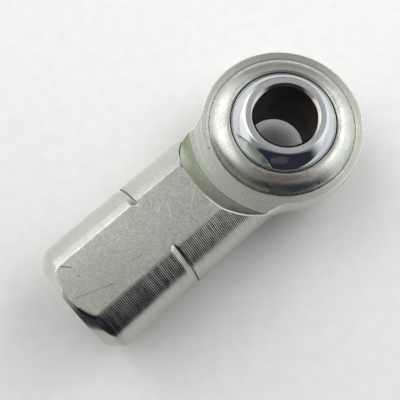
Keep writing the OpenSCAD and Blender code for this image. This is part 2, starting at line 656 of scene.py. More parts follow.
@dataclass(frozen=True)
class Mark:
    """A straight scratch, nick, stain or band of painted light or shade between two points.

    Attributes:
        start: Where it starts.
        end: Where it ends.
        width: Its full width.
        colour: Its colour.
        amount: How much of it covers the metal.
    """

    start: Place
    end: Place
    width: float
    colour: Colour
    amount: float

    def mask(self, graph: Graph, effects: Effects, place: Socket) -> Socket:
        """Adds a stroke's group and gives its mask."""
        ends = {"Start": self.start, "End": self.end}
        return graph.group(effects.stroke, Place=place, Width=self.width, **ends).outputs["Mask"]


@dataclass(frozen=True)
class TintAndShadeRing:
    """A streaky ring of tint or painted shade round the bore.

    Attributes:
        radius: Radius of its middle.
        width: Its full radial width.
        colour: Its colour.
        amount: How much of it covers the metal.
        heading: Its middle's direction, counter-clockwise from +X, in degrees.
        reach: Cosine of the angle that it reaches to each side of that, or ALL_ROUND.
    """

    ALL_ROUND = -2.0

    radius: float
    width: float
    colour: Colour
    amount: float
    heading: float = 0.0
    reach: float = ALL_ROUND

    def mask(self, graph: Graph, effects: Effects, place: Socket) -> Socket:
        """Adds a ring's group and gives its mask."""
        form = {"Radius": self.radius, "Width": self.width, "Heading": heading(self.heading, 0.0)}
        return graph.group(effects.ring, Place=place, Reach=self.reach, **form).outputs["Mask"]


@dataclass(frozen=True)
class Metal:
    """A worked metal surface.

    Attributes:
        name: The material's name.
        bright: Colour of the clean film.
        dull: Colour of the film where it is thick or hazed.
        rough: Roughness where the film is clean and where it is hazed.
        cloud: Size of the film's drift.
        grain: Size of the film's speckle.
        speckle: Share of the speckle against the drift.
        rings: How the tool rings run.
        pitch: Pitch of the rings.
        nose: Radius of the tool's nose; a smaller one leaves steeper rings.
        tear: Height of the torn metal on the rings.
        groove: How much dirt and painted shade covers the rings' valleys.
        scratch: Depth of the fine scratches.
        pit_share: Share of places that hold a pit.
        marks: Single marks and rings, real wear and dirt as well as painted light and shade, in the order
            that they lie.
    """

    name: str
    bright: Colour
    dull: Colour
    rough: tuple[float, float]
    cloud: float = 4.0 * MM
    grain: float = 0.3 * MM
    speckle: float = 0.35
    rings: RingWay = RingWay.NONE
    pitch: float = 0.3 * MM
    nose: float = 0.8 * MM
    tear: float = 0.0
    groove: float = 0.0
    scratch: float = 0.0
    pit_share: float = 0.0
    marks: tuple[Mark | TintAndShadeRing, ...] = ()

    def ring_marks(self, graph: Graph, effects: Effects, place: Socket) -> tuple[Socket, Socket]:
        """Height and valleys, for dirt and painted shade, of the tool rings, which fade out on the head if
        they run round the shank.

        Args:
            graph: The material's graph.
            effects: The shared groups.
            place: Where the surface is.

        Returns:
            The height in metres, and the mask of the valleys.
        """
        parts = graph.node("SeparateXYZ", {0: place}).outputs
        along = parts["X"]
        fade = graph.math("MULTIPLY", graph.ramp(along, *RING_START), graph.ramp(along, *RING_END))
        if self.rings is RingWay.ROUND_BORE:
            along = graph.vector("LENGTH", graph.vector("MULTIPLY", place, (1.0, 1.0, 0.0)))
        tool = {"Pitch": self.pitch, "Nose": self.nose, "Tear": self.tear}
        made = graph.group(effects.rings, Along=along, Place=place, **tool)
        height, valley = made.outputs["Height"], made.outputs["Valley"]
        if self.rings is RingWay.ROUND_BORE:
            return height, valley
        # Towards the flats and towards +Y the valleys darken more: painted shade
        near_flat = graph.ramp(graph.math("ABSOLUTE", parts["Z"]), *RING_SHADE_NEAR_FLATS)
        share = graph.math("MULTIPLY", near_flat, graph.ramp(parts["Y"], *RING_SHADE_SIDE))
        dirt_and_shade = graph.math("MULTIPLY", valley, share)
        return graph.math("MULTIPLY", height, fade), graph.math("MULTIPLY", dirt_and_shade, fade)

    def material(self, effects: Effects) -> bpy.types.Material:
        """Builds the material.

        Args:
            effects: The shared groups.

        Returns:
            The new material.
        """
        made = bpy.data.materials.new(self.name)
        made.use_nodes = True
        graph = Graph(made.node_tree)
        shader = made.node_tree.nodes["Principled BSDF"]
        place = graph.node("TexCoord").outputs["Object"]
        sizes = {"Cloud": self.cloud, "Grain": self.grain, "Speckle": self.speckle}
        film = graph.group(effects.film, Place=place, Bright=self.bright, Dull=self.dull, **sizes)
        colour = film.outputs["Color"]
        rough = graph.ramp(film.outputs["Haze"], 0.0, 1.0, *self.rough)
        normal: Socket | None = None
        if self.rings is not RingWay.NONE:
            height, valley = self.ring_marks(graph, effects, place)
            normal = graph.bump(height, 1.0, normal)
            if self.groove:
                # Dirt and painted shade in the rings' valleys
                colour = graph.cover(colour, valley, self.groove, RING_VALLEY_DIRT_AND_SHADE)
        if self.scratch:
            lines = graph.group(effects.scratches, Place=place, Length=SCRATCH_LENGTH).outputs["Mask"]
            colour = graph.cover(colour, lines, SCRATCH_COVER, SCRATCH_BRIGHT)
            normal = graph.bump(lines, self.scratch, normal)
        if self.pit_share:
            pits = graph.group(effects.pits, Place=place, Space=PIT_SPACE, Share=self.pit_share)
            colour = graph.cover(colour, pits.outputs["Mask"], PIT_COVER, DIRT_AND_SHADE)
        for mark in self.marks:
            colour = graph.cover(colour, mark.mask(graph, effects, place), mark.amount, mark.colour)
        made.node_tree.links.new(colour, shader.inputs["Base Color"])
        made.node_tree.links.new(rough, shader.inputs["Roughness"])
        shader.inputs["Metallic"].default_value = 1.0
        if normal:
            made.node_tree.links.new(normal, shader.inputs["Normal"])
        return made


ZINC_DULL = (0.56, 0.575, 0.505, 1.0)
CHROME = (0.69, 0.71, 0.74, 1.0)
CHROME_DULL = (0.66, 0.675, 0.7, 1.0)
GROUND = (0.66, 0.68, 0.685, 1.0)
GROUND_DULL = (0.61, 0.63, 0.63, 1.0)
BARE = (0.76, 0.775, 0.73, 1.0)
# Dark colour of real dirt and nicks; the crease line, the neck wall's +Y side, the seam line and the shank's
# end also take it as painted shade
DIRT_AND_SHADE = (0.05, 0.05, 0.045, 1.0)
# Colour of a broad soft darkening of the flat towards the shank's end
FLAT_END_DARKENING = (0.42, 0.41, 0.34, 1.0)
# Pale colour of the painted highlight on the neck wall
NECK_PAINTED_HIGHLIGHT = (0.74, 0.77, 0.66, 1.0)
RUST = (0.13, 0.075, 0.055, 1.0)
BLUSH = (0.5, 0.37, 0.34, 1.0)
SCRATCH_BRIGHT = (0.85, 0.86, 0.82, 1.0)
SCRATCH_LENGTH = 1.0 * MM
SCRATCH_COVER = 0.7
PIT_SPACE = 0.5 * MM
PIT_COVER = 0.6
# Dirt in the shank's tool rings, with painted shade over it: more near the flats and towards +Y, deepening
# the dark band that side reflects
RING_VALLEY_DIRT_AND_SHADE = (0.1, 0.108, 0.11, 1.0)
RING_SHADE_SIDE = (-6.0 * MM, 6.0 * MM, 0.28, 1.0)
RING_SHADE_NEAR_FLATS = (3.5 * MM, 6.0 * MM, 0.45, 1.0)
# Where those rings fade in along the shank, and out at the end bevel
RING_START = (9.0 * MM, 13.0 * MM)
RING_END = (41.3 * MM, 41.0 * MM)
# Heights of the spanner flat, the rim and the ball's face, in millimetres, for the marks on them
ON_FLAT, ON_RIM, ON_FACE = 8.375, 2.7, 7.0


def strokes(height: float, colour: Colour, *rows: tuple[float, ...]) -> tuple[Mark, ...]:
    """Level marks at a height, from rows in millimetres of x and y at both ends, width, and amount."""
    return tuple(
        Mark(mm(x0, y0, height), mm(x1, y1, height), width * MM, colour, amount)
        for x0, y0, x1, y1, width, amount in rows
    )


FLAT_MARKS = (
    # Broad soft darkening of the flat towards the shank's end
    *strokes(ON_FLAT, FLAT_END_DARKENING, (43.0, 0.0, 37.0, 1.0, 12.0, 0.32)),
    *strokes(
        ON_FLAT,
        DIRT_AND_SHADE,
        (41.84, 0.57, 36.2, 2.64, 0.16, 0.5),
        (40.36, -4.18, 39.4, -3.14, 0.24, 0.8),
        (32.54, 1.75, 30.82, 2.13, 0.16, 0.6),
        (39.55, -1.65, 39.2, -1.35, 0.2, 0.5),
        (22.05, 2.47, 21.82, 3.67, 0.16, 0.5),
    ),
    *strokes(
        ON_FLAT,
        SCRATCH_BRIGHT,
        (18.85, -0.21, 21.13, 1.62, 0.2, 0.9),
        (19.41, -1.22, 20.21, -0.4, 0.2, 0.9),
        (23.54, -1.85, 25.56, -0.99, 0.2, 0.9),
        (23.0, -1.37, 24.27, 0.82, 0.2, 0.9),
        (21.97, 1.29, 21.51, 1.7, 0.16, 0.8),
        (26.97, -3.39, 27.59, -2.95, 0.18, 0.7),
    ),
)
# Rust, bare nicks and dirt at the shank's end, and one band of painted shade
END_WEAR_AND_SHADE = (
    Mark(mm(42.25, 2.2, 8.2), mm(41.3, 4.4, 8.1), 1.1 * MM, RUST, 0.85),
    Mark(mm(42.3, -2.3, 8.3), mm(42.3, -1.5, 8.35), 0.3 * MM, BARE, 0.9),
    Mark(mm(42.35, 0.0, 8.35), mm(42.35, 0.5, 8.35), 0.35 * MM, BARE, 0.9),
    Mark(mm(42.4, -1.3, 8.2), mm(42.4, -0.4, 8.2), 0.25 * MM, DIRT_AND_SHADE, 0.7),
    # Broad soft painted shade on the +Y side of the shank's end, darkening what that side reflects
    Mark(mm(42.2, 6.0, 6.0), mm(42.2, 9.0, 1.0), 6.0 * MM, DIRT_AND_SHADE, 0.35),
)
# Edge between the neck wall and the flat: a dull stretch on the flat's side that takes the worn edge's pale
# painted highlight off, and a painted shadow line, as under a burr, along the neck wall's edge towards -Y
SEAM_DULLING_AND_SHADOW = (
    Mark(mm(17.75, -4.4, ON_FLAT), mm(18.25, 1.2, ON_FLAT), 1.6 * MM, ZINC_DULL, 0.8),
    Mark(mm(17.8, -4.0, ON_FLAT), mm(16.27, -6.42, 7.0), 0.6 * MM, DIRT_AND_SHADE, 0.8),
    Mark(mm(16.27, -6.42, 7.0), mm(14.7, -7.75, 5.5), 0.6 * MM, DIRT_AND_SHADE, 0.8),
)
RIM_MARKS = strokes(
    ON_RIM,
    DIRT_AND_SHADE,
    (11.53, -5.05, 11.3, -4.9, 0.3, 0.8),
    (10.42, -7.47, 10.51, -6.41, 0.16, 0.5),
)
# Painted light on the neck wall: a pale painted highlight towards -Y, and a painted shade towards +Y in the
# dirt colour
NECK_PAINTED_LIGHT = (
    Mark(mm(16.6, -9.2, 6.0), mm(17.2, -5.5, 6.0), 6.0 * MM, NECK_PAINTED_HIGHLIGHT, 0.95),
    Mark(mm(13.0, 9.4, 4.4), mm(15.2, 6.0, 5.4), 5.0 * MM, DIRT_AND_SHADE, 0.45),
)
COLLAR_FLECKS = tuple(
    Mark(mm(x, y, z), mm(x - 0.25, y + 0.05, z), 0.3 * MM, SCRATCH_BRIGHT, 0.8)
    for x, y, z in ((2.67, 9.74, 4.37), (1.37, 10.11, 4.32), (0.2, 10.3, 4.27), (3.66, 9.67, 4.25))
)


def body_finishes(crease: float, lip: float) -> dict[Region, Metal]:
    """Finishes of the body's regions.

    Args:
        crease: Radius of the crease between the collar and the rim.
        lip: Radius of the lip's outer edge.

    Returns:
        Each region's finish.
    """
    # A painted shade line along the crease between the collar and the rim, in the dirt colour
    line = TintAndShadeRing(crease, 0.26 * MM, DIRT_AND_SHADE, 0.8)
    blush = TintAndShadeRing(lip + 0.6 * MM, 1.6 * MM, BLUSH, 0.7, heading=52.0, reach=math.cos(math.radians(40.0)))
    return {
        Region.TURNED: Metal(
            "turned_zinc",
            (0.69, 0.71, 0.64, 1.0),
            (0.61, 0.63, 0.555, 1.0),
            (0.14, 0.2),
            rings=RingWay.ROUND_SHANK,
            pitch=0.277 * MM,
            nose=0.6 * MM,
            tear=0.01 * MM,
            groove=0.8,
            marks=END_WEAR_AND_SHADE,
        ),
        Region.MILLED: Metal(
            "milled_zinc",
            (0.655, 0.67, 0.6, 1.0),
            (0.415, 0.43, 0.375, 1.0),
            (0.28, 0.38),
            grain=0.2 * MM,
            speckle=0.75,
            scratch=0.001 * MM,
            marks=FLAT_MARKS + END_WEAR_AND_SHADE,
        ),
        Region.FACED: Metal(
            "faced_zinc",
            (0.66, 0.68, 0.61, 1.0),
            (0.58, 0.6, 0.525, 1.0),
            (0.24, 0.32),
            rings=RingWay.ROUND_BORE,
            pitch=0.24 * MM,
            nose=0.45 * MM,
            pit_share=0.03,
            marks=(line, *RIM_MARKS),
        ),
        # The neck wall's tone, darker than the faced rim, is painted shade
        Region.NECK: Metal(
            "neck_shaded_zinc",
            (0.5, 0.525, 0.445, 1.0),
            (0.44, 0.465, 0.39, 1.0),
            (0.2, 0.28),
            marks=NECK_PAINTED_LIGHT,
        ),
        Region.COINED: Metal(
            "coined_zinc",
            (0.675, 0.685, 0.635, 1.0),
            (0.53, 0.545, 0.49, 1.0),
            (0.22, 0.36),
            grain=0.5 * MM,
            speckle=0.4,
            pit_share=0.03,
            marks=(blush, line, *COLLAR_FLECKS),
        ),
        # Pale broken edges: worn metal, and a painted highlight along them
        Region.WORN: Metal(
            "worn_edge_highlight_zinc",
            (0.92, 0.93, 0.88, 1.0),
            (0.8, 0.81, 0.76, 1.0),
            (0.6, 0.75),
            marks=(*SEAM_DULLING_AND_SHADOW, *END_WEAR_AND_SHADE),
        ),
        Region.TAPPED: Metal("tapped_zinc", ZINC_DULL, (0.32, 0.33, 0.29, 1.0), (0.3, 0.45)),
        Region.SEAT: Metal("seat_steel", (0.12, 0.12, 0.11, 1.0), (0.07, 0.07, 0.065, 1.0), (0.35, 0.5)),
        # The groove's steep side: painted shade, darker than the turned zinc
        Region.GROOVE: Metal("groove_side_shade_zinc", (0.24, 0.24, 0.215, 1.0), (0.12, 0.12, 0.105, 1.0), (0.3, 0.4)),
    }


BALL_SPHERE = Metal("chromed_sphere", CHROME, CHROME_DULL, (0.04, 0.07))
BALL_FACE = Metal(
    "turned_face",
    GROUND,
    GROUND_DULL,
    (0.26, 0.32),
    rings=RingWay.ROUND_BORE,
    pitch=0.1 * MM,
    nose=2.0 * MM,
    marks=strokes(ON_FACE, SCRATCH_BRIGHT, (1.9, 5.1, 2.34, 5.62, 0.2, 0.9)),
)
BALL_BEVEL = Metal("bevel_steel", (0.64, 0.6, 0.55, 1.0), (0.54, 0.5, 0.45, 1.0), (0.1, 0.16))
BALL_BORE = Metal("dark_bore", (0.1, 0.09, 0.09, 1.0), (0.075, 0.066, 0.062, 1.0), (0.5, 0.6))


@dataclass
class Ball:
    """The chromed ball: a sphere with two flat faces and a through bore.

    Attributes:
        radius: Radius of the sphere.
        half_width: Half the width across the faces.
        bore_radius: Radius of the bore.
        bore_bevel: Bevel round each mouth of the bore.
        face_break: Radial width taken off the corner between face and sphere.
        face_break_angle: Angle of that break below the face, in degrees.
        steps: Facets in a full turn.
    """

    radius: float = 9.525 * MM
    half_width: float = field(default_factory=lambda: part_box("ball")[1].z)
    bore_radius: float = field(default_factory=lambda: mount_radius("ball_bore"))
    bore_bevel: float = 0.4 * MM
    face_break: float = 0.12 * MM
    face_break_angle: float = 30.0
    steps: int = 320
    piece: Piece | None = None

    def half_outline(self) -> list[Point]:
        """Outline of the upper half, from the bore's wall out to the sphere's widest circle.

        Returns:
            Points as radius and height.
        """
        face_r = math.sqrt(self.radius**2 - self.half_width**2) - self.face_break
        slope = math.radians(self.face_break_angle)
        ahead = face_r * math.cos(slope) - self.half_width * math.sin(slope)
        lack = self.radius**2 - face_r**2 - self.half_width**2
        run = math.sqrt(ahead**2 + lack) - ahead
        meet = (face_r + run * math.cos(slope), self.half_width - run * math.sin(slope))
        corners = [
            (self.bore_radius, 0.0),
            (self.bore_radius, self.half_width - self.bore_bevel),
            (self.bore_radius + self.bore_bevel, self.half_width),
            (face_r, self.half_width),
            meet,
        ]
        soft = rounded(corners, BALL_ROUNDS, steps=3)
        start = math.degrees(math.atan2(meet[1], meet[0]))
        sphere = arc((0.0, 0.0), self.radius, start, end=0.0, steps=32)
        return soft[:-1] + sphere

    def dress(self, effects: Effects) -> None:
        """Gives the sphere, the faces, the bevels and the bore their finishes.

        Args:
            effects: The shared groups.
        """
        mesh = self.piece.data
        finishes = (BALL_SPHERE, BALL_FACE, BALL_BORE, BALL_BEVEL)
        for finish in finishes:
            mesh.materials.append(finish.material(effects))
        for face in mesh.polygons:
            across = math.hypot(face.center.x, face.center.y)
            if across < self.bore_radius + HAIR:
                finish = BALL_BORE
            elif across < self.bore_radius + self.bore_bevel:
                finish = BALL_BEVEL
            else:
                finish = BALL_FACE if abs(face.normal.z) > FLAT else BALL_SPHERE
            face.material_index = finishes.index(finish)

    def build(self, effects: Effects) -> None:
        """Turns the whole ball and rides it on its body.

        Args:
            effects: The shared groups.
        """
        upper = self.half_outline()
        lower = [(r, -z) for r, z in reversed(upper[1:-1])]
        self.piece = Bench.turn("ball_chromed", upper + lower + [upper[0]], Spindle.BORE, self.steps)
        Bench.smooth(self.piece)
        self.dress(effects)
        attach(self.piece, "ball")
        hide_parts("ball")


@dataclass
class Body:
    """The plated body: head, neck and shank in one piece.

    Attributes:
        head_radius: Radius of the head at its widest.
        seat_radius: Radius of the seat round the ball.
        seat_relief: Room between the ball and the lip, over the seat's own play.
        rim_z: Height of the flat rim above the ball's centre.
        lip_z: Height of the coined lip's outer edge.
        lip_drop: Drop of the lip towards the ball.
        lip_width: Radial width of the lip.
        collar_width: Radial width of the raised collar.
        collar_radius: Radius of the collar's round back.
        neck_radius: Radius of the hollow between head and shank.
        neck_space: Space on the rim between the head's widest circle and the neck wall.
        neck_angle: Angle of the neck wall from the bore's direction, in degrees.
        shank_radius: Radius of the shank.
        end_bevel: Length of the bevel at the shank's end.
        end_bevel_angle: Angle of that bevel to the shank, in degrees.
        groove_from_end: Distance from the shank's end to the groove.
        groove_width: Width of the groove.
        groove_depth: Depth of the groove at its steep side.
        groove_step: Run of the groove's steep side.
        drill_radius: Radius of the drilled hole.
        thread_radius: Radius of the thread at its roots.
        pitch: Pitch of the thread.
        flank_angle: Angle of the thread's flanks from square, in degrees.
        root_share: Half the width of the thread's flat root, in pitches.
        tap_overlap: How far the tap's section reaches inside the drilled hole.
        hole_depth: Depth of the drilled hole at its full radius.
        thread_turns: Turns that the tap cuts.
        drill_angle: Angle of the drill's point, in degrees.
        mouth_bevel: Width of the countersink outside the thread.
        edge_break: Width of the break along the machined edges.
        margin: Room kept free of points beside those edges.
        smooth_bend: Largest bend at a point that may be dissolved there, in radians.
        length: Distance from the ball's centre to the shank's end.
        flat_z: Height of the spanner flats.
        steps: Facets in a full turn.
    """

    head_radius: float = 13.455 * MM
    seat_radius: float = 9.575 * MM
    seat_relief: float = 0.06 * MM
    rim_z: float = 2.7 * MM
    lip_z: float = 4.7 * MM
    lip_drop: float = 0.25 * MM
    lip_width: float = 0.4 * MM
    collar_width: float = 2.92 * MM
    collar_radius: float = 3.6 * MM
    neck_radius: float = 7.0 * MM
    neck_space: float = 1.55 * MM
    neck_angle: float = 30.0
    shank_radius: float = 9.5 * MM
    end_bevel: float = 1.8 * MM
    end_bevel_angle: float = 45.0
    groove_from_end: float = 15.6 * MM
    groove_width: float = 1.1 * MM
    groove_depth: float = 0.35 * MM
    groove_step: float = 0.15 * MM
    drill_radius: float = field(default_factory=lambda: mount_radius("tapped_hole"))
    thread_radius: float = 5.0 * MM
    pitch: float = 1.5 * MM
    flank_angle: float = 30.0
    root_share: float = 1 / 16
    tap_overlap: float = 0.15 * MM
    hole_depth: float = 22.0 * MM
    thread_turns: int = 14
    drill_angle: float = 118.0
    mouth_bevel: float = 0.3 * MM
    edge_break: float = 0.17 * MM
    margin: float = 0.2 * MM
    smooth_bend: float = math.radians(5.0)
    length: float = field(default_factory=lambda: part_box("body")[1].x)
    flat_z: float = field(default_factory=lambda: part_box("body")[1].z)
    steps: int = 236
    piece: Piece | None = None
    finishes: dict[Region, bpy.types.Material] = field(default_factory=dict)

    def lip_inner(self) -> float:
        """Radius of the lip where it meets the seat."""
        return math.sqrt(self.seat_radius**2 - (self.lip_z - self.lip_drop) ** 2)

    def blank_outline(self) -> list[Point]:
        """Outline turned about the shank: head, neck hollow, shank, groove and end bevel.

        Returns:
            Points as radius and place along the shank.
        """
        hollow_r = self.shank_radius + self.neck_radius
        hollow_x = math.sqrt((self.head_radius + self.neck_radius) ** 2 - hollow_r**2)
        meet = math.degrees(math.atan2(hollow_x, hollow_r))
        head = arc((0.0, 0.0), self.head_radius, -90.0, meet, steps=72)
        hollow = arc((hollow_r, hollow_x), self.neck_radius, 180.0 + meet, 180.0, steps=14)
        groove_x = self.length - self.groove_from_end
        end_r = self.shank_radius - self.end_bevel * math.tan(math.radians(self.end_bevel_angle))
        shank = [
            hollow[-1],
            (self.shank_radius, groove_x - self.groove_width),
            (self.shank_radius - self.groove_depth, groove_x - self.groove_width + self.groove_step),
            (self.shank_radius, groove_x),
            (self.shank_radius, self.length - self.end_bevel),
            (end_r, self.length),
            (0.0, self.length),
        ]
        return head[:-1] + hollow[:-1] + rounded(shank, SHANK_ROUNDS, steps=5)

    def head_cut_outline(self) -> list[Point]:
        """Outline turned about the bore: all that the facing and coining take off the head, and the seat.

        Returns:
            Points as radius and height, from the top of the cut to its bottom.
        """
        foot_z = self.lip_z - self.lip_drop
        lip_in = self.lip_inner()
        lip_out = lip_in + self.lip_width
        crease = lip_out + self.collar_width
        neck_foot = self.head_radius + self.neck_space
        top = self.shank_radius + MM
        neck_top = neck_foot + (top - self.rim_z) * math.tan(math.radians(self.neck_angle))
        chord = Vector((crease - lip_out, self.rim_z - self.lip_z))
        sag = math.sqrt(self.collar_radius**2 - (chord.length / 2) ** 2)
        centre = Vector(((crease + lip_out) / 2, (self.rim_z + self.lip_z) / 2))
        centre += sag * Vector((chord.y, -chord.x)) / chord.length
        start = math.degrees(math.atan2(self.rim_z - centre.y, crease - centre.x))
        end = math.degrees(math.atan2(self.lip_z - centre.y, lip_out - centre.x))
        back = arc(tuple(centre), self.collar_radius, start, end, steps=24)
        lip_turn = math.degrees(math.atan2(foot_z, lip_in))
        seat = arc((0.0, 0.0), self.seat_radius, lip_turn, 0.0, steps=24)
        for n in range(RELIEF_STEPS):
            room = 1.0 + self.seat_relief / self.seat_radius * (1.0 - n / RELIEF_STEPS)
            seat[n] = (seat[n][0] * room, seat[n][1] * room)
        corners = [(0.0, top), (neck_top, top), (neck_foot, self.rim_z), *back, *seat]
        neck_corner = 2
        lip_corner = neck_corner + len(back)
        turned = (neck_corner, neck_corner + 1, lip_corner, lip_corner + 1)
        upper = rounded(corners, dict(zip(turned, HEAD_ROUNDS)), steps=4)
        return upper + [(r, -z) for r, z in reversed(upper[:-1])]

    def drill_outline(self) -> list[Point]:
        """Outline of the drill with its point and the countersink.

        Returns:
            Points as radius and place along the shank.
        """
        mouth = self.thread_radius + self.mouth_bevel
        bottom = self.length - self.hole_depth
        point = self.drill_radius / math.tan(math.radians(self.drill_angle / 2))
        return [
            (0.0, bottom - point),
            (self.drill_radius, bottom),
            (self.drill_radius, self.length - (mouth - self.drill_radius)),
            (mouth, self.length),
            (mouth, self.length + MM),
            (0.0, self.length + MM),
        ]

    def tap_outline(self) -> list[Point]:
        """Section of the tap's groove, a turn outside the mouth.

        Returns:
            Points as radius and place along the shank, closed.
        """
        root = self.pitch * self.root_share
        inner = self.drill_radius - self.tap_overlap
        foot = root + (self.thread_radius - inner) * math.tan(math.radians(self.flank_angle))
        start = self.length + self.pitch
        outer = self.thread_radius
        section = [(inner, start - foot), (outer, start - root), (outer, start + root), (inner, start + foot)]
        return section + section[:1]

    def paint(self, piece: Piece, region: Region) -> None:
        """Adds a region's material to the tool or blank that makes it."""
        piece.data.materials.append(self.finishes[region])

    def slot(self, region: Region) -> int:
        """Finds a region's material among the piece's own."""
        return self.piece.data.materials.find(self.finishes[region].name)

    def meeting_edges(self) -> list[bpy.types.MeshEdge]:
        """Finds the edges where two machined regions meet, apart from the thread's.

        Returns:
            The edges, of the mesh as it is now.
        """
        mesh = self.piece.data
        tapped = self.slot(Region.TAPPED)
        sides: dict[tuple[int, int], set[int]] = {}
        for face in mesh.polygons:
            for key in face.edge_keys:
                sides.setdefault(key, set()).add(face.material_index)
        met = {key for key, regions in sides.items() if len(regions) == 2 and tapped not in regions}
        last = self.length - self.end_bevel + HAIR
        found = (e for e in mesh.edges if tuple(e.key) in met)
        return [e for e in found if all(mesh.vertices[v].co.x < last for v in e.vertices)]

    def rim_faces(self) -> list[bpy.types.MeshPolygon]:
        """Finds the facets of the two flat rims, in the mesh as it is now."""
        return [f for f in self.piece.data.polygons if level_at(f, self.rim_z, HAIR)]

    def merge_rim(self) -> None:
        """Merges the facets of the flat rims into wide sectors, which shade as one plane to their edges."""
        step = math.tau / RIM_SECTORS
        for n in range(RIM_SECTORS // 2):
            across = (-math.sin(n * step + RIM_TURN), math.cos(n * step + RIM_TURN), 0.0)
            plane = {"plane_co": (0.0, 0.0, 0.0), "plane_no": across, "threshold": HAIR}
            rims = {f.index for f in self.rim_faces()}
            Bench.edit(self.piece, Item.FACE, rims, bpy.ops.mesh.bisect, **plane)
        for n in range(RIM_SECTORS):
            sector = {
                f.index
                for f in self.rim_faces()
                if int((math.atan2(f.center.y, f.center.x) - RIM_TURN) % math.tau / step) == n
            }
            Bench.edit(self.piece, Item.FACE, sector, bpy.ops.mesh.dissolve_faces)

    def clear_margin(self) -> None:
        """Dissolves the crowded points beside the machined edges, so that a break has room along them."""
        mesh = self.piece.data
        edges = self.meeting_edges()
        line = {v for e in edges for v in e.vertices}
        tree = KDTree(len(edges) * EDGE_SAMPLES)
        for n, edge in enumerate(edges):
            first, last = (mesh.vertices[v].co for v in edge.vertices)
            for k in range(EDGE_SAMPLES):
                tree.insert(first.lerp(last, k / EDGE_SAMPLES), n * EDGE_SAMPLES + k)
        tree.balance()
        bend: dict[int, float] = {}
        for face in mesh.polygons:
            for v in face.vertices:
                bend[v] = max(bend.get(v, 0.0), face.normal.angle(mesh.vertices[v].normal, 0.0))
        crowded = {
            v.index
            for v in mesh.vertices
            if v.index not in line and bend[v.index] < self.smooth_bend and tree.find(v.co)[2] < self.margin
        }
        Bench.edit(self.piece, Item.POINT, crowded, bpy.ops.mesh.dissolve_verts)

    def spikes(self) -> set[int]:
        """Finds the points where the outline of a rim or flat turns back on itself.

        Returns:
            Those points, each with its nearer neighbour.
        """
        found: set[int] = set()
        for face in self.piece.data.polygons:
            if abs(face.normal.z) < FLAT or len(face.vertices) < LONG_OUTLINE:
                continue
            ring = [self.piece.data.vertices[v] for v in face.vertices]
            for before, at, after in zip(ring[-1:] + ring[:-1], ring, ring[1:] + ring[:1]):
                there, on = at.co - before.co, after.co - at.co
                if there.angle(on, 0.0) > SPIKE:
                    found |= {at.index, (before if there.length < on.length else after).index}
        return found

    def break_edges(self) -> None:
        """Breaks the sharp edges where two machined regions meet.

        What folds over or spikes at a tight corner is merged there, the level faces are set back on their
        planes, and the long curved faces beside the breaks are split.
        """
        mesh = self.piece.data
        worn, tapped = self.slot(Region.WORN), self.slot(Region.TAPPED)
        form = {"offset": self.edge_break, "segments": 2, "clamp_overlap": False, "loop_slide": False}
        sharp = {e.index for e in self.meeting_edges()}
        Bench.edit(self.piece, Item.EDGE, sharp, bpy.ops.mesh.bevel, affect="EDGES", material=worn, **form)
        folded = {
            f.index
            for f in mesh.polygons
            if f.material_index == worn
            and sum(mesh.vertices[v].normal.dot(f.normal) for v in f.vertices) < 0.0
        }
        Bench.edit(self.piece, Item.FACE, folded, bpy.ops.mesh.merge, type="COLLAPSE")
        while spikes := self.spikes():
            Bench.edit(self.piece, Item.POINT, spikes, bpy.ops.mesh.merge, type="COLLAPSE")
        for face in mesh.polygons:
            for plane in (self.rim_z, self.flat_z):
                if level_at(face, plane, NEAR):
                    for v in face.vertices:
                        mesh.vertices[v].co.z = math.copysign(plane, face.center.z)
        curved = (f for f in mesh.polygons if abs(f.normal.z) < FLAT and f.material_index != tapped)
        long = {f.index for f in curved if len(f.vertices) > 4}
        split = {"quad_method": "BEAUTY", "ngon_method": "BEAUTY"}
        Bench.edit(self.piece, Item.FACE, long, bpy.ops.mesh.quads_convert_to_tris, **split)

    def dress(self) -> None:
        """Sorts the faced side into rim, neck wall, coined collar and seat, and gives each its finish."""
        for region in (Region.NECK, Region.COINED, Region.SEAT, Region.GROOVE):
            self.paint(self.piece, region)
        slots = {region: self.slot(region) for region in Region}
        crease = self.lip_inner() + self.lip_width + self.collar_width
        neck_rise = (self.flat_z - self.rim_z) * math.tan(math.radians(self.neck_angle))
        shank_start = self.head_radius + self.neck_space + neck_rise + 2 * self.edge_break
        groove = self.length - self.groove_from_end - self.groove_width
        for face in self.piece.data.polygons:
            across = math.hypot(face.center.x, face.center.y)
            in_groove = 0.0 < face.center.x - groove < self.groove_step
            # The groove's steep side takes its painted shade
            if face.material_index == slots[Region.TURNED] and in_groove:
                face.material_index = slots[Region.GROOVE]
            # Broken edges along the shank take the flats' finish, without the worn edges' pale painted
            # highlight
            if face.material_index == slots[Region.WORN] and face.center.x > 0.0 and across > shank_start:
                face.material_index = slots[Region.MILLED]
            if face.material_index != slots[Region.FACED] or level_at(face, self.rim_z, NEAR):
                continue
            if face.center.length < self.seat_radius + self.seat_relief:
                face.material_index = slots[Region.SEAT]
            elif across < crease + CREASE_REACH:
                face.material_index = slots[Region.COINED]
            elif abs(face.center.z) > self.rim_z + HAIR:
                face.material_index = slots[Region.NECK]

